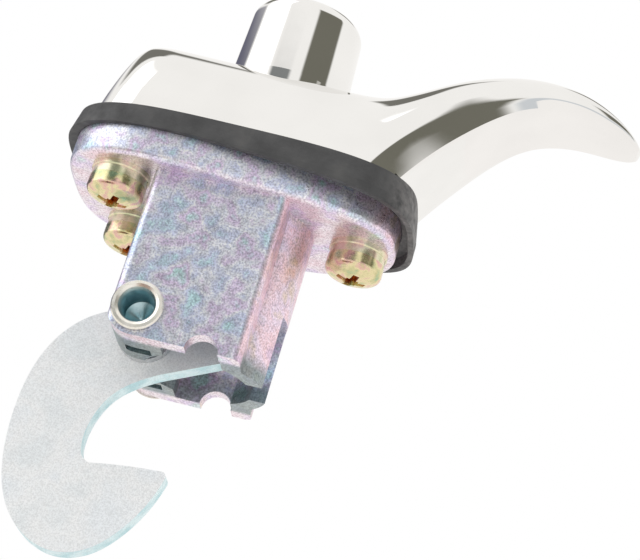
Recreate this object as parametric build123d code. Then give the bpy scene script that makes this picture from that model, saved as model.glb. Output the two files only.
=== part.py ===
from build123d import *
import math
import os

# Push-button latch handle for a lid or tailgate. Millimetres.
# X runs along the handle towards the tip of its finger blade, Z points out of the lid, and the
# origin is the middle of the gasket's seating face, so the lid's outer skin is the plane Z = 0.

# ---------------------------------------------------------------- driving dimensions

# lock housing
FLANGE_T = 6.3              # the flange's lower face is this far below the lid plane
FLANGE_TOP = 0.4            # its top face sits in a shallow recess of the gasket
FLANGE_LEN = 70.2           # flange length over both ends
FLANGE_X = 0.7              # middle of the flange's length
FLANGE_W = 41.8             # flange width before the taper
FLANGE_N = 3.0              # squareness of the flange outline
FLANGE_RIM_R = 1.5          # rounded lower rim
FLANGE_TAPER = 0.2          # the flange narrows towards the blade by this share
BOX_LEFT = -14.0
BOX_RIGHT = 14.2
BOX_HALF = 17.3             # half depth over the cheeks
BOX_BOTTOM = -FLANGE_T - 35.9
CHEEK_T = 3.5
BOX_EDGE_R = 1.8            # rounded upright edges
BORE_X = 4.0                # axis of the button, its plunger and the bore
BORE_R = 11.4
BORE_WALL = 3.2
WEB_T = 4.0                 # web across the top of the bore, the spring stands on it
SLOT_HALF = 4.3             # slot in the round wall for the hook's tail
SLOT_TOP = -FLANGE_T - 20.0
NOTCH_X = 6.45
NOTCH_R = 3.4

# hook and its pivot
PIVOT_X = -8.3
PIVOT_Z = -FLANGE_T - 29.8
PIVOT_R = 4.0
BOSS_R = 6.1
NEAR_BOSS_END = -4.2        # inner end of the near pivot boss
FAR_BOSS_END = 6.0          # inner end of the far pivot boss
HOOK_T = 4.0
HUB_R = 8.0
TAIL_ANGLE = 25.7           # the tail's slope at rest
TAIL_W = 9.0
TAIL_REACH = 20.2           # straight part of the tail, from the pivot
HOOK_FIT = 0.08

# button and plunger
BUTTON_R = 13.0
BUTTON_TOP_R = 12.1
BUTTON_TOP = 44.1
BUTTON_EDGE_R = 3.4
BUTTON_SKIRT = 13.0         # lower end of the cap's skirt
BUTTON_WALL = 1.8
STEM_R = 5.0
NOSE_R = 3.0
NOSE_GAP = 0.35             # free play between the nose and the tail
NOSE_LEN = 13.0
CLIP_T = 1.0
CLIP_R = 7.4
CUP_T = 0.9
CUP_R = 11.6
SPRING_COIL_R = 8.7
SPRING_WIRE_R = 0.7
SPRING_TURNS = 8
WIRE_SIDES = 6              # the springs' wire is drawn six-sided
SEAL_Z = 18.0
SEAL_R = 1.0                # section radius of the seal ring
SEAL_FIT = 0.15
STEM_FIT = 0.1

# gasket
GASKET_T = 4.9
GASKET_LEN = 75.3
GASKET_X = 1.35             # the gasket reaches further out under the blade
GASKET_W = 46.1
GASKET_N = 3.4
GASKET_TAPER = 0.05
LIP_W = 1.2                 # lip round the gasket's edge
LIP_DROP = 2.6              # how far it hangs below the pad at the blade's end
LIP_START = -8.0            # where it leaves the pad's level
GASKET_LEAN = 0.9           # the side leans inwards by this much over its height

# handle
BASE_Z = GASKET_T
CREST_Z = 24.8
BASE_HALF = 20.0
HANDLE_BORE_R = BUTTON_R + 0.3
HANDLE_WALL = 3.0
END_LOW_X = -32.0           # foot of the rounded end
END_HIGH_X = -22.2          # the end leans inwards to here at the height below
END_RISE = 36.0
END_CORNER_R = 11.0         # the end's upright corners
END_EDGE_R = 4.5            # rounding where the end rises into the top
BASE_RUN = 48.0             # the straight base, back from the first section of the blade
TRIM_RIGHT = 90.0           # the trimming shape for the end reaches past the blade's tip
POCKET_LEFT = -26.5
POCKET_RIGHT = 23.0
POCKET_HALF = 15.6
POCKET_TOP = 20.0

# screws: M6 pan heads with a spring washer and a flat washer each
SCREW_PLACES = {
    "front_left": (-21.7, -12.0),
    "back_left": (-21.7, 12.0),
    "right": (28.4, 0.0),
}
SCREW_R = 3.0
HEAD_R = 6.0
HEAD_H = 4.6
FLAT_WASHER_R = 6.2
FLAT_WASHER_T = 1.2
SPRING_WASHER_R = 5.9
SPRING_WASHER_T = 1.6
SCREW_REACH = 13.0          # how far the screws reach above the lid plane

parts = {}


def egg_outline(length, width, squareness, taper, count=36):
    """Closed outline that narrows towards +X, from the superellipse formula."""
    points = []
    for i in range(count):
        angle = 2 * math.pi * i / count
        c = math.cos(angle)
        s = math.sin(angle)
        u = math.copysign(abs(c) ** (2 / squareness), c)
        v = math.copysign(abs(s) ** (2 / squareness), s)
        points.append((length / 2 * u, width / 2 * v * (1 - taper * u)))
    return Spline(points, periodic=True)


def plate(outline, bottom, height):
    """Flat slab with the given closed outline."""
    face = make_face(Plane.XY.offset(bottom) * outline)
    return extrude(face, amount=height)


def rod(x, y, bottom, top, radius):
    """Upright cylinder."""
    return Pos(x, y, (bottom + top) / 2) * Cylinder(radius, top - bottom)


def cross_rod(x, z, y_from, y_to, radius):
    """Cylinder along Y."""
    return Pos(x, (y_from + y_to) / 2, z) * Rot(90, 0, 0) * Cylinder(radius, y_to - y_from)


def block(x_from, x_to, y_from, y_to, z_from, z_to):
    """Box between two corners."""
    middle = Pos((x_from + x_to) / 2, (y_from + y_to) / 2, (z_from + z_to) / 2)
    return middle * Box(x_to - x_from, y_to - y_from, z_to - z_from)


def crown_arc(edge_r, edge_z, top_z):
    """Half profile of a spherical crown, from its edge to the axis."""
    rise = top_z - edge_z
    ball_r = (edge_r ** 2 + rise ** 2) / (2 * rise)
    middle_z = top_z - ball_r + math.copysign(math.sqrt(ball_r ** 2 - edge_r ** 2 / 4), ball_r)
    return ThreePointArc((edge_r, edge_z), (edge_r / 2, middle_z), (0, top_z))


# ---------------------------------------------------------------- lock housing


def flange_outline(clearance):
    length = FLANGE_LEN + 2 * clearance
    width = FLANGE_W + 2 * clearance
    return Pos(FLANGE_X, 0, 0) * egg_outline(length, width, FLANGE_N, FLANGE_TAPER)


def build_housing():
    flange = plate(flange_outline(0.0), -FLANGE_T, FLANGE_T + FLANGE_TOP)
    lower_rim = flange.faces().sort_by(Axis.Z)[0].edges()
    flange = fillet(lower_rim, FLANGE_RIM_R)

    box = block(BOX_LEFT, BOX_RIGHT, -BOX_HALF, BOX_HALF, BOX_BOTTOM, -FLANGE_T + 1)
    upright = box.edges().filter_by(Axis.Z)
    box = fillet(upright, BOX_EDGE_R)
    box += rod(BORE_X, 0, BOX_BOTTOM, -FLANGE_T + 1, BORE_R + BORE_WALL)

    # the cheeks' lower corners run round the pivot
    corner = block(BOX_LEFT - 1, PIVOT_X, -BOX_HALF - 1, BOX_HALF + 1, BOX_BOTTOM - 1, PIVOT_Z)
    corner -= cross_rod(PIVOT_X, PIVOT_Z, -BOX_HALF - 2, BOX_HALF + 2, BOSS_R)
    box -= corner

    # cavity between the cheeks, open below, with the pivot bosses left standing
    cavity_top = -FLANGE_T - 4.0
    inner = BOX_HALF - CHEEK_T
    left_inside = BOX_LEFT + CHEEK_T
    right_inside = BOX_RIGHT - CHEEK_T
    cavity = block(left_inside, BORE_X, -inner, inner, BOX_BOTTOM - 1, cavity_top)
    cavity += block(BORE_X - 1, right_inside - 0.6, -inner, inner, BOX_BOTTOM - 1, BOX_BOTTOM + 8)
    boss_right = PIVOT_X + BOSS_R
    boss_top = PIVOT_Z + BOSS_R + 1.5
    near_boss = block(BOX_LEFT, boss_right, -inner - 1, NEAR_BOSS_END, BOX_BOTTOM - 2, boss_top)
    far_boss = block(BOX_LEFT, boss_right, FAR_BOSS_END, inner + 1, BOX_BOTTOM - 2, boss_top)
    cavity -= near_boss
    cavity -= far_boss
    box -= cavity

    # core holes that lighten the bosses from below
    for y in (-9.0, 10.0):
        box -= block(PIVOT_X - 1.8, PIVOT_X + 3.6, y - 1.4, y + 1.4, BOX_BOTTOM - 1, BOX_BOTTOM + 1.6)

    # slot for the hook through the left wall, from the pivot's height down
    box -= block(BOX_LEFT - 1, left_inside + 1, NEAR_BOSS_END, FAR_BOSS_END, BOX_BOTTOM - 1, SLOT_TOP)

    housing = flange + box
    housing -= rod(BORE_X, 0, BOX_BOTTOM - 1, -WEB_T, BORE_R)
    housing -= rod(BORE_X, 0, -WEB_T - 1, FLANGE_TOP + 1, STEM_R + STEM_FIT)

    # slot for the hook's tail through the round wall
    housing -= block(BORE_X, BORE_X + BORE_R + BORE_WALL + 1, -SLOT_HALF, SLOT_HALF,
                     BOX_BOTTOM - 1, SLOT_TOP)

    # half-round notch across the lower edge of both cheeks
    housing -= cross_rod(NOTCH_X, BOX_BOTTOM, -BOX_HALF - 1, BOX_HALF + 1, NOTCH_R)

    # rivet hole and screw holes
    housing -= cross_rod(PIVOT_X, PIVOT_Z, -BOX_HALF - 1, BOX_HALF + 1, PIVOT_R + 0.02)
    for x, y in SCREW_PLACES.values():
        housing -= rod(x, y, -FLANGE_T - 1, FLANGE_TOP + 1, SCREW_R + 0.3)
    return housing


parts["lock_housing"] = build_housing()

# ---------------------------------------------------------------- hook


def build_hook():
    # outer edge from the hub down the back and round the claw to its tip, heights from the pivot
    back_points = [
        (-17.2, 3.3), (-22.6, -0.4), (-27.2, -7.3), (-29.5, -18.0), (-29.1, -28.6), (-25.2, -40.5),
        (-19.6, -46.0), (-12.8, -47.9), (-7.2, -46.3), (-1.1, -40.4), (2.7, -33.4), (4.2, -28.6),
    ]
    throat_points = [
        (-11.6, -28.9), (-13.4, -27.6), (-14.2, -24.4), (-13.6, -19.3), (-11.4, -14.2), (-7.4, -10.2),
    ]
    slope = math.radians(TAIL_ANGLE)
    along = (math.cos(slope), math.sin(slope))
    across = (-along[1], along[0])

    def tail_point(distance, height):
        return (distance * along[0] + height * across[0] + PIVOT_X, distance * along[1] + height * across[1])

    back = Spline(back_points)
    tip = ThreePointArc(back_points[-1], (4.1, -27.6), (2.8, -27.1))
    claw_top = Spline([(2.8, -27.1), (-4.9, -27.8), throat_points[0]])
    low_start = tail_point(2.4, -TAIL_W)
    low_end = tail_point(TAIL_REACH, -TAIL_W)
    tail_tip = tail_point(TAIL_REACH + TAIL_W / 2, -TAIL_W / 2)
    top_end = tail_point(TAIL_REACH, 0)
    top_start = tail_point(HUB_R + 2.2, 0)
    throat = Spline(throat_points + [low_start])
    lower = Line(low_start, low_end)
    end = ThreePointArc(low_end, tail_tip, top_end)
    upper = Line(top_end, top_start)
    hub_angle = math.radians(66)
    hub_side = (PIVOT_X + HUB_R * math.cos(hub_angle), HUB_R * math.sin(hub_angle))
    hub_tangent = (-math.sin(hub_angle), math.cos(hub_angle))
    rise = Spline([top_start, hub_side], tangents=[(-along[0], -along[1]), hub_tangent])
    hub = Spline([hub_side, (PIVOT_X, HUB_R), back_points[0]])
    outline = Wire([back, tip, claw_top, throat, lower, end, upper, rise, hub])
    face = make_face(Plane(origin=(0, HOOK_T / 2, PIVOT_Z), x_dir=(1, 0, 0), z_dir=(0, -1, 0)) * outline)
    hook = extrude(face, amount=HOOK_T)
    hook -= cross_rod(PIVOT_X, PIVOT_Z, -HOOK_T, HOOK_T, PIVOT_R + HOOK_FIT)
    return hook


parts["hook_lever"] = build_hook()

# ---------------------------------------------------------------- rivet, spacer and hook spring


def build_rivet():
    """Semi-tubular rivet: solid head behind the far cheek, flared rim on the near cheek."""
    near = -BOX_HALF
    far = BOX_HALF
    profile = Polyline(
        (0, far + 2.2), (2.4, far + 2.1), (4.6, far + 1.5), (6.4, far + 0.4), (6.4, far),
        (PIVOT_R, far), (PIVOT_R, near), (4.4, near - 0.02), (5.2, near - 0.25), (5.3, near - 0.7),
        (5.0, near - 1.1), (4.4, near - 1.2), (3.8, near - 0.95), (3.35, near - 0.2),
        (3.2, near + 1.2), (3.2, near + 5.5), (0, near + 7.4), (0, far + 2.2),
    )
    turned = revolve(make_face(Plane.XY * profile), Axis.Y)
    return Pos(PIVOT_X, 0, PIVOT_Z) * turned


parts["pivot_rivet"] = build_rivet()

spacer = cross_rod(PIVOT_X, PIVOT_Z, NEAR_BOSS_END + 0.1, -HOOK_T / 2 - 0.1, 6.0)
spacer -= cross_rod(PIVOT_X, PIVOT_Z, NEAR_BOSS_END, -HOOK_T / 2, PIVOT_R + 0.1)
parts["hook_spacer"] = spacer


def build_hook_spring():
    """Torsion spring on the rivet between the hook and the far boss."""
    wire_r = 0.55
    coil_r = 5.4
    pitch = 1.2
    turns = 2
    leg = 12.5
    path = Helix(pitch, pitch * turns, coil_r)
    profile = Plane(origin=path @ 0, z_dir=path % 0) * RegularPolygon(wire_r, WIRE_SIDES)
    coil = Rot(-90, 0, 0) * sweep(profile, path)
    hook_leg = Rot(0, -TAIL_ANGLE, 0) * Pos(leg / 2, 0, -coil_r) * Rot(0, 90, 0) * Cylinder(wire_r, leg)
    housing_leg = Pos(coil_r, pitch * turns, leg / 2) * Cylinder(wire_r, leg)
    spring = coil + hook_leg + housing_leg
    return Pos(PIVOT_X, HOOK_T / 2 + wire_r + 0.2, PIVOT_Z) * spring


parts["hook_spring"] = build_hook_spring()

# ---------------------------------------------------------------- gasket


def gasket_outline(inset):
    length = GASKET_LEN - 2 * inset
    width = GASKET_W - 2 * inset
    return Pos(GASKET_X, 0, 0) * egg_outline(length, width, GASKET_N, GASKET_TAPER)


def build_gasket():
    """Rubber pad with leaning sides and a thin lip that hangs lower towards the blade."""
    low_face = make_face(gasket_outline(0.0))
    high_face = make_face(Pos(0, 0, GASKET_T) * gasket_outline(GASKET_LEAN))
    pad = loft([low_face, high_face])
    lip = plate(gasket_outline(0.0), -LIP_DROP - 1, LIP_DROP + 1)
    lip -= plate(gasket_outline(LIP_W), -LIP_DROP - 2, LIP_DROP + 3)
    slope = math.degrees(math.atan2(LIP_DROP, GASKET_X + GASKET_LEN / 2 - LIP_START))
    below = Pos(LIP_START, 0, 0) * Rot(0, slope, 0) * block(-90, 90, -40, 40, -40, 0)
    lip -= below
    gasket = pad + lip
    gasket -= plate(flange_outline(0.1), -LIP_DROP - 2, LIP_DROP + 2 + FLANGE_TOP)
    gasket -= rod(BORE_X, 0, -1, GASKET_T + 1, 14.0)
    for x, y in SCREW_PLACES.values():
        gasket -= rod(x, y, -1, GASKET_T + 1, SCREW_R + 0.6)
    return gasket


parts["base_gasket"] = build_gasket()

# ---------------------------------------------------------------- handle

# Sections of the handle from its base to the tip of the blade. Each row holds the lower point (x, z),
# the crest point (x, z), the half width at the lower edge, the widest half width, the height of the
# widest place as a share of the section, and the squareness of the crown.
HANDLE_SECTIONS = [
    (8.0, -8.0, 8.0, CREST_Z, BASE_HALF, BASE_HALF, 0.45, 3.2),
    (20.0, -7.0, 16.0, CREST_Z, 18.8, 19.4, 0.45, 3.1),
    (29.0, -3.0, 25.0, 26.1, 16.4, 17.8, 0.45, 2.8),
    (34.4, 4.9, 30.5, 28.3, 14.6, 16.4, 0.42, 2.6),
    (38.9, 11.9, 36.0, 31.9, 13.7, 15.1, 0.42, 2.4),
    (43.7, 18.1, 41.5, 35.2, 12.6, 13.7, 0.42, 2.3),
    (50.4, 25.4, 48.5, 38.2, 10.8, 11.8, 0.40, 2.2),
    (57.8, 30.3, 57.0, 39.7, 9.3, 10.1, 0.36, 2.1),
    (66.0, 31.6, 67.0, 38.4, 8.2, 8.9, 0.33, 2.0),
    (73.0, 30.7, 74.6, 34.5, 6.8, 7.2, 0.30, 2.0),
    (77.4, 29.6, 78.6, 31.4, 4.6, 4.9, 0.30, 2.0),
    (79.4, 29.0, 80.0, 29.9, 2.2, 2.4, 0.30, 2.0),
]


def handle_section(x_low, z_low, x_top, z_top, half_low, half_wide, share, squareness):
    """One closed section: a flat underside and a rounded outline over the top."""
    height = math.hypot(x_top - x_low, z_top - z_low)
    up = ((x_top - x_low) / height, (z_top - z_low) / height)
    wide_at = share * height

    def place(y, h):
        return Vector(x_low + h * up[0], y, z_low + h * up[1])

    half = [(half_low, 0.0)]
    for angle in (0.5, 1.0):
        y = half_low + (half_wide - half_low) * math.sin(angle)
        half.append((y, wide_at * (1 - math.cos(angle))))
    steps = 7
    for i in range(steps + 1):
        angle = math.pi / 2 * i / steps
        y = half_wide * max(math.cos(angle), 0.0) ** (2 / squareness)
        h = wide_at + (height - wide_at) * math.sin(angle) ** (2 / squareness)
        half.append((y, h))
    right = [place(y, h) for y, h in half]
    left = [place(-y, h) for y, h in reversed(half[:-1])]
    outline = Spline(right + left)
    closing = Line(left[-1], right[0])
    return make_face(Wire([outline, closing]))


def end_outline(x_left, z):
    """Level outline with the handle's rounded left end."""
    length = TRIM_RIGHT - x_left
    outline = RectangleRounded(length, 2 * BASE_HALF + 1, END_CORNER_R)
    return Pos(x_left + length / 2, 0, z) * outline


def build_handle():
    faces = [handle_section(*row) for row in HANDLE_SECTIONS]
    blade = loft(faces)
    base = extrude(faces[0], amount=BASE_RUN, dir=(-1, 0, 0))
    body = base + blade
    body -= block(-60, 100, -40, 40, -20, BASE_Z)

    # the rounded end leans inwards
    low_end = end_outline(END_LOW_X, BASE_Z)
    high_end = end_outline(END_HIGH_X, BASE_Z + END_RISE)
    body &= loft([low_end.face(), high_end.face()], ruled=True)
    end_edges = body.edges().filter_by_position(Axis.X, END_LOW_X - 1, -14).filter_by_position(Axis.Z, 12, 30)
    body = fillet(end_edges, END_EDGE_R)

    # hollow underside, with a tube round the button and a boss over each left screw
    pocket = block(POCKET_LEFT, POCKET_RIGHT, -POCKET_HALF, POCKET_HALF, BASE_Z - 1, POCKET_TOP)
    pocket = fillet(pocket.edges().filter_by(Axis.Z), 6.0)
    pocket -= rod(BORE_X, 0, BASE_Z - 2, POCKET_TOP + 1, HANDLE_BORE_R + HANDLE_WALL)
    for x, y in SCREW_PLACES.values():
        pocket -= rod(x, y, BASE_Z - 2, POCKET_TOP + 1, SCREW_R + 2.4)
    body -= pocket
    for x, y in SCREW_PLACES.values():
        body -= rod(x, y, BASE_Z - 1, SCREW_REACH + 1.5, SCREW_R + 0.05)

    body -= rod(BORE_X, 0, BASE_Z - 1, CREST_Z + 5, HANDLE_BORE_R)
    groove_r = BUTTON_R + SEAL_FIT + 2 * SEAL_R + 0.1
    body -= rod(BORE_X, 0, SEAL_Z - SEAL_R - 0.1, SEAL_Z + SEAL_R + 0.1, groove_r)
    return body


parts["grab_handle"] = build_handle()

# ---------------------------------------------------------------- button and its inner pieces


def build_button():
    """Turned cap: straight below the handle's top, tapered above it, with a broad rounded edge."""
    taper = (BUTTON_R - BUTTON_TOP_R) / (BUTTON_TOP - CREST_Z)
    shoulder_z = BUTTON_TOP - BUTTON_EDGE_R
    shoulder_r = BUTTON_R - taper * (shoulder_z - CREST_Z)
    flat_r = shoulder_r - BUTTON_EDGE_R
    inner_r = BUTTON_TOP_R - BUTTON_WALL + 0.7
    ceiling = BUTTON_TOP - 4.1
    turn = math.sqrt(0.5) * BUTTON_EDGE_R
    wall = Polyline(
        (inner_r, ceiling), (inner_r, BUTTON_SKIRT), (BUTTON_R, BUTTON_SKIRT),
        (BUTTON_R, CREST_Z), (shoulder_r, shoulder_z),
    )
    edge = ThreePointArc(
        (shoulder_r, shoulder_z),
        (flat_r + turn, shoulder_z + turn),
        (flat_r, BUTTON_TOP),
    )
    crown = crown_arc(flat_r, BUTTON_TOP, BUTTON_TOP + 0.4)
    closing = Polyline((0, BUTTON_TOP + 0.4), (0, ceiling), (inner_r, ceiling))
    profile = make_face(Plane.XZ * (wall + edge + crown + closing))
    return Pos(BORE_X, 0, 0) * revolve(profile, Axis.Z)


parts["push_button"] = build_button()

nose_slope = math.radians(TAIL_ANGLE)
nose_reach = BORE_X - PIVOT_X
nose_centre = (NOSE_R + NOSE_GAP + nose_reach * math.sin(nose_slope)) / math.cos(nose_slope) + PIVOT_Z
stem_top = BUTTON_TOP - 4.1
clip_top = -WEB_T - 0.1

plunger = rod(BORE_X, 0, nose_centre + NOSE_LEN, stem_top, STEM_R)
plunger += rod(BORE_X, 0, stem_top - 3.0, stem_top, SPRING_COIL_R - SPRING_WIRE_R - 0.8)
plunger += rod(BORE_X, 0, nose_centre, nose_centre + NOSE_LEN, NOSE_R)
plunger += Pos(BORE_X, 0, nose_centre) * Sphere(NOSE_R)
groove = rod(BORE_X, 0, clip_top - CLIP_T, clip_top, STEM_R + 1)
groove -= rod(BORE_X, 0, clip_top - CLIP_T, clip_top, STEM_R - 0.8)
plunger -= groove
parts["button_plunger"] = plunger

clip = rod(BORE_X, 0, clip_top - CLIP_T, clip_top, CLIP_R)
clip -= rod(BORE_X, 0, clip_top - CLIP_T - 1, clip_top + 1, STEM_R - 0.8)
clip -= block(BORE_X, BORE_X + CLIP_R + 1, -2.6, 2.6, clip_top - CLIP_T - 1, clip_top + 1)
parts["plunger_clip"] = clip

cup = rod(BORE_X, 0, FLANGE_TOP, FLANGE_TOP + CUP_T, CUP_R)
cup += rod(BORE_X, 0, FLANGE_TOP, FLANGE_TOP + 3 * CUP_T, STEM_R + 1.4)
cup -= rod(BORE_X, 0, -1, 4 * CUP_T, STEM_R + 0.4)
parts["spring_cup"] = cup


def build_button_spring():
    """Compression spring between the cup and the ceiling of the cap."""
    bottom = FLANGE_TOP + CUP_T + SPRING_WIRE_R
    height = stem_top - SPRING_WIRE_R - 0.1 - bottom
    path = Helix(height / SPRING_TURNS, height, SPRING_COIL_R)
    profile = Plane(origin=path @ 0, z_dir=path % 0) * RegularPolygon(SPRING_WIRE_R, WIRE_SIDES)
    coil = sweep(profile, path)
    return Pos(BORE_X, 0, bottom) * coil


parts["button_spring"] = build_button_spring()

parts["button_seal"] = Pos(BORE_X, 0, SEAL_Z) * Torus(BUTTON_R + SEAL_FIT + SEAL_R, SEAL_R)

# ---------------------------------------------------------------- screws and washers

head_base = -FLANGE_T - FLAT_WASHER_T - SPRING_WASHER_T


def build_screw():
    """Pan-head screw, standing head down, with a cross recess."""
    shank = rod(0, 0, head_base - 0.5, SCREW_REACH, SCREW_R)
    rim = head_base - HEAD_H * 0.45
    low = head_base - HEAD_H
    crown_edge_r = HEAD_R - 0.9
    crown_edge_z = rim - 1.3
    edge = ThreePointArc((HEAD_R, rim), (HEAD_R - 0.25, rim - 0.75), (crown_edge_r, crown_edge_z))
    crown = crown_arc(crown_edge_r, crown_edge_z, low)
    outline = Polyline((0, low), (0, head_base), (HEAD_R, head_base), (HEAD_R, rim))
    head = revolve(make_face(Plane.XZ * (outline + edge + crown)), Axis.Z)
    screw = head + shank
    recess = Rectangle(6.6, 1.7) + Rectangle(1.7, 6.6) + Rectangle(2.9, 2.9)
    cutter = extrude(Pos(0, 0, low - 0.6) * recess, amount=3.4, taper=9)
    return screw - Rot(0, 0, 25) * cutter


def build_spring_washer():
    """Split washer, cut through at a slant."""
    top = -FLANGE_T - FLAT_WASHER_T
    ring = rod(0, 0, top - SPRING_WASHER_T, top, SPRING_WASHER_R)
    ring -= rod(0, 0, top - SPRING_WASHER_T - 1, top + 1, SCREW_R + 0.2)
    gap = Pos(SPRING_WASHER_R - 1, 0, top - SPRING_WASHER_T / 2) * Rot(35, 0, 0) * Box(6, 0.5, 6)
    return ring - gap


def build_flat_washer():
    ring = rod(0, 0, -FLANGE_T - FLAT_WASHER_T, -FLANGE_T, FLAT_WASHER_R)
    ring = chamfer(ring.faces().sort_by(Axis.Z)[0].edges(), 0.25)
    ring -= rod(0, 0, -FLANGE_T - FLAT_WASHER_T - 1, 0, SCREW_R + 0.2)
    return ring


screw = build_screw()
spring_washer = build_spring_washer()
flat_washer = build_flat_washer()
for place, (screw_x, screw_y) in SCREW_PLACES.items():
    parts[f"screw_{place}"] = Pos(screw_x, screw_y, 0) * screw
    parts[f"spring_washer_{place}"] = Pos(screw_x, screw_y, 0) * spring_washer
    parts[f"flat_washer_{place}"] = Pos(screw_x, screw_y, 0) * flat_washer

# ---------------------------------------------------------------- files

os.makedirs("parts", exist_ok=True)
for name, shape in parts.items():
    export_step(shape, f"parts/{name}.step")
    print(name, len(shape.solids()), round(shape.volume, 1))
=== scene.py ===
import math

import bmesh
import bpy
import numpy as np
from mathutils import Matrix, Vector


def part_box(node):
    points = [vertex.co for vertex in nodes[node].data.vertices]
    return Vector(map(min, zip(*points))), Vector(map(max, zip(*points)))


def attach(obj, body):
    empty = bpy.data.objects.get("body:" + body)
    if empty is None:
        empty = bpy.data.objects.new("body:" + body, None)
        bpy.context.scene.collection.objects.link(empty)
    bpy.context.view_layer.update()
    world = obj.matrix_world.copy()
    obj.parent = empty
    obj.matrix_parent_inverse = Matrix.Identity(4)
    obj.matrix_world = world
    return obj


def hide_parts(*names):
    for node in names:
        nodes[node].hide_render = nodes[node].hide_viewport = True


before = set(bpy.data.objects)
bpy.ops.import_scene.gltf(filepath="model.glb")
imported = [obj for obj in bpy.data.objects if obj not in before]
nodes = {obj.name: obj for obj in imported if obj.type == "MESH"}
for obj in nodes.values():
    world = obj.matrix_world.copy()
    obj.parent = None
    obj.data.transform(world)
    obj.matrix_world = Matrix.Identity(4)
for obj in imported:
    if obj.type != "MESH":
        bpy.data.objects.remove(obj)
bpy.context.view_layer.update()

# ---------------------------------------------------------------- studio
# A pale floor under the latch and an even white room. Only reflected rays see the dark and bright
# boards round it, which the polished plating needs to show its shape.

scene = bpy.context.scene
scene.view_settings.view_transform = "Standard"

camera_data = bpy.data.cameras.new("camera")
camera_data.sensor_width = 36.0
camera_data.lens = 113.4
camera = bpy.data.objects.new("camera", camera_data)
scene.collection.objects.link(camera)
camera_right = Vector((0.96357, 0.04298, 0.26396))
camera_down = Vector((0.22468, 0.40523, -0.88617))
camera_forward = Vector((-0.14505, 0.9132, 0.38081))
camera_turn = Matrix((camera_right, -camera_down, -camera_forward)).transposed()
camera.matrix_world = Matrix.Translation((0.08256, -0.37959, -0.17299)) @ camera_turn.to_4x4()
scene.camera = camera

world = bpy.data.worlds.new("room")
scene.world = world
world.use_nodes = True
room = world.node_tree
room.nodes.clear()


def room_math(operation, first, second=0.0):
    node = room.nodes.new("ShaderNodeMath")
    node.operation = operation
    for socket, value in zip(node.inputs, (first, second)):
        if isinstance(value, (int, float)):
            socket.default_value = value
        else:
            room.links.new(value, socket)
    return node.outputs[0]


def room_step(value, start, end):
    """Smooth rise from 0 at start to 1 at end."""
    node = room.nodes.new("ShaderNodeMapRange")
    node.interpolation_type = "SMOOTHSTEP"
    room.links.new(value, node.inputs["Value"])
    node.inputs["From Min"].default_value = start
    node.inputs["From Max"].default_value = end
    return node.outputs["Result"]


direction = room.nodes.new("ShaderNodeTexCoord").outputs["Generated"]
split = room.nodes.new("ShaderNodeSeparateXYZ")
room.links.new(direction, split.inputs[0])
toward_front = room_math("MULTIPLY", split.outputs["Y"], -1.0)
bearing = room_math("DEGREES", room_math("ARCTAN2", split.outputs["X"], toward_front))
height = room_math("DEGREES", room_math("ARCSINE", split.outputs["Z"]))

# each board: bearing from the front (towards +X is positive), height above the horizon, soft edge, colour
BOARDS = [
    ("left_flag", -150, -101, -15, 33, 4, (0.14, 0.14, 0.19)),
    ("left_softbox", -96, -40, 0, 62, 3, (1.7, 1.7, 1.72)),
    ("front_flag", -34, 3, 2, 31, 4, (0.22, 0.23, 0.23)),
    ("right_flag", 24, 80, 11, 42, 3, (0.17, 0.165, 0.135)),
    ("right_glint", 58, 66, 11, 30, 2, (0.55, 0.54, 0.50)),
    ("low_right_wall", 4, 75, -12, 7, 3, (0.66, 0.69, 0.72)),
    ("back_left_flag", -152, -112, 40, 70, 3, (0.19, 0.185, 0.165)),
    ("back_right_flag", 156, 178, 46, 62, 3, (0.17, 0.165, 0.14)),
]


def room_board(name, left, right, low, high, soft, colour, behind):
    inside = room_math("MULTIPLY", room_step(bearing, left - soft, left + soft),
                       room_step(bearing, right + soft, right - soft))
    inside = room_math("MULTIPLY", inside, room_step(height, low - soft, low + soft))
    inside = room_math("MULTIPLY", inside, room_step(height, high + soft, high - soft))
    mix = room.nodes.new("ShaderNodeMix")
    mix.data_type = "RGBA"
    mix.name = name
    room.links.new(inside, mix.inputs["Factor"])
    if isinstance(behind, tuple):
        mix.inputs["A"].default_value = behind
    else:
        room.links.new(behind, mix.inputs[6])
    mix.inputs[7].default_value = (*colour, 1.0)
    return mix.outputs[2]


walls = room.nodes.new("ShaderNodeRGB")
walls.outputs[0].default_value = (1.0, 0.985, 0.965, 1.0)
seen = walls.outputs[0]
for board in BOARDS:
    seen = room_board(*board, seen)

lit = room.nodes.new("ShaderNodeBackground")
room.links.new(seen, lit.inputs["Color"])
lit.inputs["Strength"].default_value = 1.0
white = room.nodes.new("ShaderNodeBackground")
white.inputs["Color"].default_value = (1.0, 1.0, 1.0, 1.0)
white.inputs["Strength"].default_value = 1.0
path = room.nodes.new("ShaderNodeLightPath")
choose = room.nodes.new("ShaderNodeMixShader")
plain_ray = room_math("MAXIMUM", path.outputs["Is Camera Ray"], path.outputs["Is Diffuse Ray"])
room.links.new(plain_ray, choose.inputs[0])
room.links.new(lit.outputs[0], choose.inputs[1])
room.links.new(white.outputs[0], choose.inputs[2])
room_out = room.nodes.new("ShaderNodeOutputWorld")
room.links.new(choose.outputs[0], room_out.inputs["Surface"])

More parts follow.
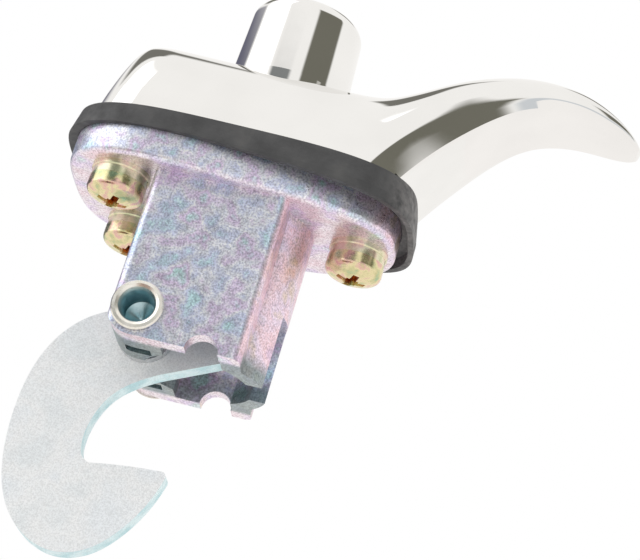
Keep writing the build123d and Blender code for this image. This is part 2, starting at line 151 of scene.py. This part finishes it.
floor_mesh = bpy.data.meshes.new("floor")
floor_half = 14.0
floor_z = -0.195
floor_mesh.from_pydata(
    [(-floor_half, -floor_half, floor_z), (floor_half, -floor_half, floor_z),
     (floor_half, floor_half, floor_z), (-floor_half, floor_half, floor_z)],
    [], [(0, 1, 2, 3)])
floor = bpy.data.objects.new("floor", floor_mesh)
scene.collection.objects.link(floor)
floor_material = bpy.data.materials.new("floor_paper")
floor_material.use_nodes = True
paper = floor_material.node_tree
paper_shader = paper.nodes["Principled BSDF"]
paper_shader.inputs["Base Color"].default_value = (0.9, 0.9, 0.895, 1.0)
paper_shader.inputs["Roughness"].default_value = 0.9
# painted reflection: reflected rays see the paper glowing bright, with one painted dark and orange patch out
# to the front left
reflection_glow = paper.nodes.new("ShaderNodeEmission")
paper_place = paper.nodes.new("ShaderNodeTexCoord").outputs["Object"]
distance = paper.nodes.new("ShaderNodeVectorMath")
distance.operation = "DISTANCE"
paper.links.new(paper_place, distance.inputs[0])
distance.inputs[1].default_value = (-0.21, -0.36, floor_z)
# painted reflection: a dark and orange patch, seen only by reflected rays, out to the front left
painted_patch_mask = paper.nodes.new("ShaderNodeMapRange")
painted_patch_mask.inputs["From Min"].default_value = 0.21
painted_patch_mask.inputs["From Max"].default_value = 0.19
paper.links.new(distance.outputs["Value"], painted_patch_mask.inputs["Value"])
blotch = paper.nodes.new("ShaderNodeTexNoise")
blotch.inputs["Scale"].default_value = 11.0
paper.links.new(paper_place, blotch.inputs["Vector"])
painted_patch_colour = paper.nodes.new("ShaderNodeValToRGB")
painted_patch_colour.color_ramp.elements[0].position = 0.50
painted_patch_colour.color_ramp.elements[0].color = (0.012, 0.014, 0.016, 1.0)
painted_patch_colour.color_ramp.elements[1].position = 0.56
painted_patch_colour.color_ramp.elements[1].color = (0.62, 0.30, 0.17, 1.0)
paper.links.new(blotch.outputs["Fac"], painted_patch_colour.inputs["Fac"])
reflection_glow_colour = paper.nodes.new("ShaderNodeMix")
reflection_glow_colour.data_type = "RGBA"
paper.links.new(painted_patch_mask.outputs["Result"], reflection_glow_colour.inputs["Factor"])
reflection_glow_colour.inputs[6].default_value = (1.0, 0.975, 0.955, 1.0)
paper.links.new(painted_patch_colour.outputs["Color"], reflection_glow_colour.inputs[7])
paper.links.new(reflection_glow_colour.outputs[2], reflection_glow.inputs["Color"])
paper_path = paper.nodes.new("ShaderNodeLightPath")
paper_choose = paper.nodes.new("ShaderNodeMixShader")
paper.links.new(paper_path.outputs["Is Glossy Ray"], paper_choose.inputs[0])
paper.links.new(paper_shader.outputs[0], paper_choose.inputs[1])
paper.links.new(reflection_glow.outputs[0], paper_choose.inputs[2])
paper.links.new(paper_choose.outputs[0], paper.nodes["Material Output"].inputs["Surface"])
floor_mesh.materials.append(floor_material)

# ---------------------------------------------------------------- lock housing
# One zinc die casting: an egg-shaped flange, a square box for the hook and a round bore for the
# plunger. It is zinc plated and blue passivated, which leaves a satin skin with lilac, pink and
# sea-green tints and a fine sparkle.

MM = 0.001


def new_finish(name, metallic, roughness):
    """Material with its node tree and its shader."""
    material = bpy.data.materials.new(name)
    material.use_nodes = True
    tree = material.node_tree
    shader = tree.nodes["Principled BSDF"]
    shader.inputs["Metallic"].default_value = metallic
    shader.inputs["Roughness"].default_value = roughness
    return material, tree, shader


def dress(name, finish):
    nodes[name].data.materials.clear()
    nodes[name].data.materials.append(finish)


def place_on(tree):
    return tree.nodes.new("ShaderNodeTexCoord").outputs["Object"]


def grain(tree, size, detail=2.0, stretch=(1, 1, 1)):
    """Noise whose blotches are about the given size across, in metres."""
    mapping = tree.nodes.new("ShaderNodeMapping")
    mapping.inputs["Scale"].default_value = stretch
    tree.links.new(place_on(tree), mapping.inputs["Vector"])
    node = tree.nodes.new("ShaderNodeTexNoise")
    node.inputs["Scale"].default_value = 1.0 / size
    node.inputs["Detail"].default_value = detail
    tree.links.new(mapping.outputs[0], node.inputs["Vector"])
    return node.outputs["Fac"]


def colours(tree, value, stops):
    """Colour band through the given (place, colour) stops."""
    node = tree.nodes.new("ShaderNodeValToRGB")
    band = node.color_ramp
    while len(band.elements) < len(stops):
        band.elements.new(0.5)
    for element, (place, colour) in zip(band.elements, stops):
        element.position = place
        element.color = (*colour, 1.0)
    tree.links.new(value, node.inputs["Fac"])
    return node.outputs["Color"]


def spread(tree, value, low, high, out_low=0.0, out_high=1.0):
    node = tree.nodes.new("ShaderNodeMapRange")
    node.inputs["From Min"].default_value = low
    node.inputs["From Max"].default_value = high
    node.inputs["To Min"].default_value = out_low
    node.inputs["To Max"].default_value = out_high
    tree.links.new(value, node.inputs["Value"])
    return node.outputs["Result"]


def blend(tree, share, first, second, how="MIX"):
    node = tree.nodes.new("ShaderNodeMix")
    node.data_type = "RGBA"
    node.blend_type = how
    if isinstance(share, float):
        node.inputs["Factor"].default_value = share
    else:
        tree.links.new(share, node.inputs["Factor"])
    for index, value in ((6, first), (7, second)):
        if isinstance(value, tuple):
            node.inputs[index].default_value = (*value, 1.0)
        else:
            tree.links.new(value, node.inputs[index])
    return node.outputs[2]


def sums(tree, how, first, second=0.0):
    node = tree.nodes.new("ShaderNodeMath")
    node.operation = how
    for socket, value in zip(node.inputs, (first, second)):
        if isinstance(value, (int, float)):
            socket.default_value = value
        else:
            tree.links.new(value, socket)
    return node.outputs[0]


def relief(tree, shader, height, depth):
    node = tree.nodes.new("ShaderNodeBump")
    node.inputs["Distance"].default_value = depth
    node.inputs["Strength"].default_value = 1.0
    tree.links.new(height, node.inputs["Height"])
    tree.links.new(node.outputs["Normal"], shader.inputs["Normal"])


def facing(tree):
    """The surface's own direction, split into x, y and z."""
    split_node = tree.nodes.new("ShaderNodeSeparateXYZ")
    tree.links.new(tree.nodes.new("ShaderNodeTexCoord").outputs["Normal"], split_node.inputs[0])
    return split_node.outputs


def position(tree):
    split_node = tree.nodes.new("ShaderNodeSeparateXYZ")
    tree.links.new(place_on(tree), split_node.inputs[0])
    return split_node.outputs


casting, tree, shader = new_finish("blue_passivated_casting", 0.8, 0.36)
front_tint = colours(tree, grain(tree, 5.5 * MM, 3.0), [
    (0.32, (0.62, 0.86, 0.92)), (0.43, (0.68, 0.72, 0.92)), (0.51, (0.86, 0.88, 0.96)),
    (0.60, (0.78, 0.66, 0.88)), (0.70, (0.62, 0.86, 0.86)),
])
side_tint = colours(tree, grain(tree, 6.5 * MM, 3.0), [
    (0.32, (0.78, 0.60, 0.76)), (0.46, (0.96, 0.70, 0.76)), (0.58, (0.86, 0.72, 0.86)),
    (0.70, (0.78, 0.64, 0.56)),
])
under_tint = colours(tree, grain(tree, 7.0 * MM, 3.0), [
    (0.30, (0.94, 0.74, 0.80)), (0.48, (0.96, 0.86, 0.92)), (0.60, (0.84, 0.72, 0.92)),
    (0.72, (0.74, 0.84, 0.86)),
])
face_x, face_y, face_z = facing(tree)
tint = blend(tree, spread(tree, face_x, 0.35, 0.80), front_tint, side_tint)
tint = blend(tree, spread(tree, sums(tree, "MULTIPLY", face_z, -1.0), 0.45, 0.9), tint, under_tint)
at_x, at_y, at_z = position(tree)
# painted shade: inside the box, below z -37 mm and between its walls, the casting is darkened to a deep teal
inside = sums(tree, "MULTIPLY", spread(tree, at_z, -40 * MM, -37 * MM, 1.0, 0.0),
              spread(tree, sums(tree, "ABSOLUTE", at_y), 13.0 * MM, 14.6 * MM, 1.0, 0.0))
tint = blend(tree, sums(tree, "MULTIPLY", inside, 0.75), tint, (0.16, 0.27, 0.25))
sparkle = spread(tree, grain(tree, 0.4 * MM, 1.0), 0.30, 0.70, 0.66, 1.25)
level = tree.nodes.new("ShaderNodeCombineColor")
for channel in level.inputs[:3]:
    tree.links.new(sparkle, channel)
tint = blend(tree, 1.0, tint, level.outputs[0], "MULTIPLY")
tree.links.new(tint, shader.inputs["Base Color"])
tree.links.new(spread(tree, grain(tree, 2.4 * MM, 3.0), 0.3, 0.7, 0.26, 0.46), shader.inputs["Roughness"])
relief(tree, shader, sums(tree, "ADD", grain(tree, 0.35 * MM, 2.0), grain(tree, 3.0 * MM, 2.0)), 0.05 * MM)
dress("lock_housing", casting)

# ---------------------------------------------------------------- hook
# A claw stamped from 4 mm steel plate and bright zinc plated. Its faces are nearly white and its
# sheared edge has a cold blue-green passivate, coloured darker as well as painted shade where the
# edge turns away from the light. It swings on the rivet between the cheeks.

hook_finish, tree, shader = new_finish("bright_zinc_hook", 0.2, 0.34)
plate_tint = colours(tree, grain(tree, 9.0 * MM, 4.0), [
    (0.34, (0.88, 0.91, 0.92)), (0.50, (0.95, 0.96, 0.96)), (0.66, (0.90, 0.93, 0.95)),
])
edge_tint_and_shade = colours(tree, grain(tree, 3.0 * MM, 3.0), [
    (0.35, (0.50, 0.74, 0.78)), (0.60, (0.74, 0.90, 0.92)),
])
face_x, face_y, face_z = facing(tree)
# painted shade: the edge faces get a darker tint than the plate faces
edge_passivate_and_shade = spread(tree, sums(tree, "ABSOLUTE", face_y), 0.35, 0.75, 1.0, 0.0)
tint = blend(tree, edge_passivate_and_shade, plate_tint, edge_tint_and_shade)
fine = spread(tree, grain(tree, 0.3 * MM, 1.0), 0.3, 0.7, 0.86, 1.08)
level = tree.nodes.new("ShaderNodeCombineColor")
for channel in level.inputs[:3]:
    tree.links.new(fine, channel)
tree.links.new(blend(tree, 1.0, tint, level.outputs[0], "MULTIPLY"), shader.inputs["Base Color"])
relief(tree, shader, grain(tree, 0.4 * MM, 2.0), 0.03 * MM)
dress("hook_lever", hook_finish)

# ---------------------------------------------------------------- rivet, spacer and hook spring
# A semi-tubular steel rivet carries the hook. Its open end is flared over the near cheek, and a
# spacer and a small torsion spring sit on it beside the hook. The rivet is plated, pale on the
# flared rim and blue-green down the bore, where it is also darkened as painted shade.

rivet_finish, tree, shader = new_finish("plated_rivet", 0.9, 0.24)
low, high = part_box("pivot_rivet")
axis_x = (low[0] + high[0]) / 2
axis_z = (low[2] + high[2]) / 2
at_x, at_y, at_z = position(tree)
off_x = sums(tree, "SUBTRACT", at_x, axis_x)
off_z = sums(tree, "SUBTRACT", at_z, axis_z)
from_axis = sums(tree, "SQRT", sums(tree, "ADD", sums(tree, "MULTIPLY", off_x, off_x),
                                    sums(tree, "MULTIPLY", off_z, off_z)))
rim_tint = colours(tree, grain(tree, 2.0 * MM, 2.0), [(0.35, (0.84, 0.81, 0.72)), (0.65, (0.92, 0.90, 0.84))])
bore_tint_and_shade = colours(tree, grain(tree, 2.5 * MM, 2.0), [
    (0.35, (0.28, 0.46, 0.50)), (0.65, (0.52, 0.68, 0.72)),
])
# painted shade: the bore is coloured far darker than the rim
in_bore = spread(tree, from_axis, 3.3 * MM, 3.8 * MM, 1.0, 0.0)
tree.links.new(blend(tree, in_bore, rim_tint, bore_tint_and_shade), shader.inputs["Base Color"])
dress("pivot_rivet", rivet_finish)

steel_finish, tree, shader = new_finish("plated_steel", 0.95, 0.28)
tree.links.new(colours(tree, grain(tree, 4.0 * MM, 3.0), [
    (0.35, (0.56, 0.58, 0.60)), (0.65, (0.70, 0.71, 0.72)),
]), shader.inputs["Base Color"])
tree.links.new(spread(tree, grain(tree, 1.2 * MM, 2.0), 0.3, 0.7, 0.2, 0.38), shader.inputs["Roughness"])
for name in ("hook_spacer", "button_plunger", "spring_cup"):
    dress(name, steel_finish)

spring_finish, tree, shader = new_finish("spring_steel", 0.95, 0.3)
tree.links.new(colours(tree, grain(tree, 3.0 * MM, 3.0), [
    (0.35, (0.34, 0.34, 0.35)), (0.65, (0.50, 0.50, 0.50)),
]), shader.inputs["Base Color"])
for name in ("hook_spring", "button_spring", "plunger_clip"):
    dress(name, spring_finish)

# ---------------------------------------------------------------- gasket and seal
# A moulded black rubber pad between the handle and the lid, with a thin lip that hangs lower at
# the blade's end, and a ring of the same rubber round the button. The rubber is matt, and turns
# lighter grey in blotches towards the blade's end.

rubber_finish, tree, shader = new_finish("black_rubber", 0.0, 0.55)
at_x, at_y, at_z = position(tree)
rubber_tint = colours(tree, grain(tree, 6.0 * MM, 5.0), [
    (0.32, (0.040, 0.040, 0.041)), (0.55, (0.060, 0.060, 0.061)), (0.75, (0.085, 0.084, 0.082)),
])
toward_blade_end = spread(tree, at_x, 32 * MM, 38 * MM)
end_greying = sums(tree, "MULTIPLY", toward_blade_end, spread(tree, grain(tree, 1.6 * MM, 5.0), 0.3, 0.7))
rubber_tint = blend(tree, end_greying, rubber_tint, (0.20, 0.19, 0.185))
tree.links.new(rubber_tint, shader.inputs["Base Color"])
tree.links.new(spread(tree, grain(tree, 2.0 * MM, 4.0), 0.3, 0.7, 0.42, 0.66), shader.inputs["Roughness"])
relief(tree, shader, sums(tree, "ADD", grain(tree, 0.5 * MM, 3.0), grain(tree, 4.0 * MM, 2.0)), 0.06 * MM)
for name in ("base_gasket", "button_seal"):
    dress(name, rubber_finish)

# ---------------------------------------------------------------- handle
# A die-cast grab handle, polished and chromed: a hollow base that stands on the gasket and a
# swept finger blade. A flat flank runs along the blade's lower edge and meets the side in a
# softened crease. The button comes up through a bore in the crown.

chrome, tree, shader = new_finish("chrome_plate", 1.0, 0.04)
tree.links.new(colours(tree, grain(tree, 14.0 * MM, 2.0), [
    (0.35, (0.85, 0.845, 0.83)), (0.65, (0.88, 0.875, 0.86)),
]), shader.inputs["Base Color"])
tree.links.new(spread(tree, grain(tree, 1.5 * MM, 4.0), 0.3, 0.75, 0.02, 0.075), shader.inputs["Roughness"])
relief(tree, shader, grain(tree, 7.0 * MM, 1.0), 0.015 * MM)

base_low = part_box("grab_handle")[0]
FOOT = base_low[2] / MM
END_X = base_low[0] / MM
END_LEAN = 0.18
END_CORNER = 11.0
END_EDGE = 4.5
BLADE_X = 8.0
BASE_STEPS = 56
BASE_WIDE = 21.0
CREST = 26.2
CREST_FALL = -0.02
SQUARE = 3.2
WALL_LEAN = 0.13
EDGE_Z = -8.0               # the sides run on below the foot and are cut off there
CREASE_Z = -2.0
EDGE_INSET = 2.5            # the underside's edge lies this far inside the crease
CREASE_BELOW = 0.9          # the crease is softened over this length of the flank
CREASE_ABOVE = 0.16         # and over this share of the side
SIDE_STEPS = 34

# stations along the blade, in millimetres: edge of the underside (x, z), crease (x, z), crest
# (x, z), half widths at the edge and at the crease, squareness of the crown, lean of the side
BLADE = np.array([
    (8.0, -8.0, 8.0, -2.0, 8.0, 26.2, 18.5, 21.0, 3.2, 0.13),
    (20.0, -7.0, 16.0, -3.0, 16.0, 26.0, 17.4, 20.8, 3.1, 0.13),
    (29.0, -3.0, 24.2, 0.2, 24.5, 26.6, 15.9, 19.2, 2.9, 0.12),
    (34.4, 4.9, 29.0, 8.0, 30.2, 28.6, 14.6, 17.6, 2.6, 0.09),
    (38.9, 11.9, 33.9, 15.3, 36.0, 31.9, 13.7, 16.3, 2.4, 0.06),
    (43.7, 18.1, 39.9, 21.4, 41.5, 35.2, 12.6, 14.6, 2.3, 0.03),
    (50.4, 25.4, 48.0, 28.1, 48.5, 38.2, 10.8, 12.1, 2.2, 0.0),
    (57.8, 30.3, 56.8, 32.9, 57.0, 39.7, 9.3, 10.3, 2.1, 0.0),
    (66.0, 31.6, 65.9, 33.9, 67.0, 38.4, 8.2, 9.0, 2.0, 0.0),
    (73.0, 30.7, 73.3, 32.3, 74.6, 34.5, 6.8, 7.3, 2.0, 0.0),
    (77.4, 29.6, 77.7, 30.3, 78.6, 31.4, 4.6, 4.9, 2.0, 0.0),
    (79.4, 29.0, 79.6, 29.3, 80.0, 29.9, 2.2, 2.4, 2.0, 0.0),
])
BLADE_STEPS = 12


def smooth_rows(rows, steps):
    """Natural cubic spline through the rows, with the given number of steps between two."""
    count = len(rows)
    system = np.zeros((count, count))
    right = np.zeros(rows.shape)
    system[0, 0] = 1.0
    system[-1, -1] = 1.0
    for i in range(1, count - 1):
        system[i, i - 1:i + 2] = (1.0, 4.0, 1.0)
        right[i] = 6.0 * (rows[i - 1] - 2.0 * rows[i] + rows[i + 1])
    curve = np.linalg.solve(system, right)
    result = []
    for i in range(count - 1):
        for step in range(steps):
            t = step / steps
            s = 1.0 - t
            result.append(s * rows[i] + t * rows[i + 1]
                          + ((s ** 3 - s) * curve[i] + (t ** 3 - t) * curve[i + 1]) / 6.0)
    result.append(rows[-1])
    return np.array(result)


def half_ring(edge, crease, crest, half_edge, half_wide, square, lean):
    """Points (x, y, z) from the middle of the underside, round the edge and over to the crest."""
    edge = np.array(edge)
    crease = np.array(crease)
    crest = np.array(crest)
    height = np.linalg.norm(crest - crease)

    def side(share):
        """Point of the side and crown, share 0 at the crease and 1 at the crest."""
        angle = share * math.pi / 2
        up = math.sin(angle) ** (2 / square)
        across = max(math.cos(angle), 0.0) ** (2 / square)
        x, z = crease + up * (crest - crease)
        return np.array((x, (half_wide - lean * height * up) * across, z))

    low = np.array((edge[0], half_edge, edge[1]))
    corner = np.array((crease[0], half_wide, crease[1]))
    points = [np.array((edge[0], half_edge * share, edge[1])) for share in (0.0, 0.3, 0.6, 0.85, 0.97)]
    flank = np.linalg.norm(corner - low)
    softened = CREASE_BELOW / max(flank, 2 * CREASE_BELOW)
    points += [low + (corner - low) * share for share in (0.02, 0.06, 0.2, 0.5)]
    before = low + (corner - low) * (1 - softened)
    after = side(CREASE_ABOVE)
    for t in (0.0, 0.2, 0.4, 0.6, 0.8, 1.0):
        points.append((1 - t) ** 2 * before + 2 * t * (1 - t) * corner + t ** 2 * after)
    points += [side(CREASE_ABOVE + (1 - CREASE_ABOVE) * k / SIDE_STEPS) for k in range(1, SIDE_STEPS + 1)]
    return points


def stand_on_foot(points):
    """Cut the ring off at the height of the base's foot."""
    result = [point.copy() for point in points]
    first = next(i for i, point in enumerate(points) if point[2] >= FOOT)
    if first == 0:
        return result
    above = points[first]
    below = points[first - 1]
    share = (FOOT - below[2]) / (above[2] - below[2])
    cut = below + share * (above - below)
    for i in range(first):
        result[i] = np.array((cut[0], cut[1] * min(i / (first - 1), 1.0) if first > 1 else cut[1], FOOT))
    return result


rings = []
for step in range(BASE_STEPS):
    t = (BLADE_X - END_X) * (step / BASE_STEPS) ** 1.7
    half = BASE_WIDE
    if t < END_CORNER:
        half = BASE_WIDE - END_CORNER + math.sqrt(END_CORNER ** 2 - (END_CORNER - t) ** 2)
    top = CREST - CREST_FALL * (BLADE_X - END_X - t)
    if t < END_EDGE:
        top -= END_EDGE - math.sqrt(END_EDGE ** 2 - (END_EDGE - t) ** 2)
    ring = half_ring((0, EDGE_Z), (0, CREASE_Z), (0, top), half - EDGE_INSET, half, SQUARE, WALL_LEAN)
    ring = stand_on_foot(ring)
    for point in ring:
        end_x = END_X + END_LEAN * (point[2] - FOOT)
        point[0] = end_x + t * (BLADE_X - end_x) / (BLADE_X - END_X)
    rings.append(ring)
for row in smooth_rows(BLADE, BLADE_STEPS):
    rings.append(stand_on_foot(half_ring(row[0:2], row[2:4], row[4:6], *row[6:10])))

handle_bm = bmesh.new()
loops = []
for ring in rings:
    near = [handle_bm.verts.new((p[0] * MM, -p[1] * MM, p[2] * MM)) for p in ring]
    far = [handle_bm.verts.new((p[0] * MM, p[1] * MM, p[2] * MM)) for p in ring]
    loops.append(near + far[::-1])
for first, second in zip(loops, loops[1:]):
    count = len(first)
    for i in range(count):
        j = (i + 1) % count
        handle_bm.faces.new((first[i], second[i], second[j], first[j]))
for loop in (loops[0], loops[-1]):
    count = len(loop)
    for i in range(count // 2 - 1):
        handle_bm.faces.new((loop[i], loop[i + 1], loop[count - 2 - i], loop[count - 1 - i]))
bmesh.ops.remove_doubles(handle_bm, verts=handle_bm.verts, dist=0.00002)
bmesh.ops.recalc_face_normals(handle_bm, faces=handle_bm.faces)
handle_mesh = bpy.data.meshes.new("handle_body")
handle_bm.to_mesh(handle_mesh)
handle_bm.free()
handle_whole = bpy.data.objects.new("handle_whole", handle_mesh)
scene.collection.objects.link(handle_whole)

button_low, button_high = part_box("push_button")
bore_x = (button_low[0] + button_high[0]) / 2
bore_r = (button_high[0] - button_low[0]) / 2 + 0.3 * MM
bore_bm = bmesh.new()
bmesh.ops.create_cone(bore_bm, cap_ends=True, segments=128, radius1=bore_r, radius2=bore_r, depth=60 * MM,
                      matrix=Matrix.Translation((bore_x, 0, 20 * MM)))
bore_mesh = bpy.data.meshes.new("bore")
bore_bm.to_mesh(bore_mesh)
bore_bm.free()
bore = bpy.data.objects.new("bore", bore_mesh)
scene.collection.objects.link(bore)
cut = handle_whole.modifiers.new("bore", "BOOLEAN")
cut.operation = "DIFFERENCE"
cut.solver = "EXACT"
cut.object = bore
depsgraph = bpy.context.evaluated_depsgraph_get()
cut_mesh = bpy.data.meshes.new_from_object(handle_whole.evaluated_get(depsgraph))
cut_mesh.name = "handle_shell"
bpy.data.objects.remove(handle_whole)
bpy.data.objects.remove(bore)
for polygon in cut_mesh.polygons:
    polygon.use_smooth = True
cut_mesh.set_sharp_from_angle(angle=math.radians(32))
handle = bpy.data.objects.new("handle_shell", cut_mesh)
scene.collection.objects.link(handle)
cut_mesh.materials.clear()
cut_mesh.materials.append(chrome)
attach(handle, "latch_body")
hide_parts("grab_handle")

# ---------------------------------------------------------------- button
# A turned and chromed cap over the plunger, slightly tapered, with a broad rounded edge.

dress("push_button", chrome)

# ---------------------------------------------------------------- screws and washers
# Three pan-head screws, each with a spring washer and a flat washer, clamp the flange up against
# the gasket. They are zinc plated and yellow passivated: gold with green and pink tints, and the
# recess holds the darkest red-brown colour.


def screw_finish(name, centre_x, centre_y, low_z):
    material, tree, shader = new_finish(name, 0.95, 0.22)
    tint = colours(tree, grain(tree, 2.6 * MM, 2.0), [
        (0.30, (0.42, 0.56, 0.34)), (0.42, (0.66, 0.62, 0.34)), (0.52, (0.84, 0.74, 0.44)),
        (0.62, (0.80, 0.50, 0.44)), (0.74, (0.62, 0.60, 0.30)),
    ])
    at_x, at_y, at_z = position(tree)
    off_x = sums(tree, "SUBTRACT", at_x, centre_x)
    off_y = sums(tree, "SUBTRACT", at_y, centre_y)
    from_axis = sums(tree, "SQRT", sums(tree, "ADD", sums(tree, "MULTIPLY", off_x, off_x),
                                        sums(tree, "MULTIPLY", off_y, off_y)))
    deep = sums(tree, "MULTIPLY", spread(tree, at_z, low_z + 0.7 * MM, low_z + 1.3 * MM),
                spread(tree, from_axis, 3.4 * MM, 3.9 * MM, 1.0, 0.0))
    rust = colours(tree, grain(tree, 1.2 * MM, 2.0), [(0.4, (0.42, 0.16, 0.07)), (0.62, (0.85, 0.45, 0.12))])
    tree.links.new(blend(tree, deep, tint, rust), shader.inputs["Base Color"])
    tree.links.new(spread(tree, grain(tree, 0.8 * MM, 2.0), 0.3, 0.7, 0.14, 0.3), shader.inputs["Roughness"])
    relief(tree, shader, grain(tree, 1.6 * MM, 2.0), 0.05 * MM)
    return material


washer_finish, tree, shader = new_finish("yellow_washer", 0.95, 0.26)
tree.links.new(colours(tree, grain(tree, 2.4 * MM, 2.0), [
    (0.32, (0.60, 0.62, 0.40)), (0.50, (0.84, 0.78, 0.56)), (0.66, (0.82, 0.62, 0.50)),
]), shader.inputs["Base Color"])
for place in ("front_left", "back_left", "right"):
    low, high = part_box("screw_" + place)
    finish = screw_finish("yellow_screw_" + place, (low[0] + high[0]) / 2, (low[1] + high[1]) / 2, low[2])
    dress("screw_" + place, finish)
    for kind in ("spring_washer_", "flat_washer_"):
        dress(kind + place, washer_finish)
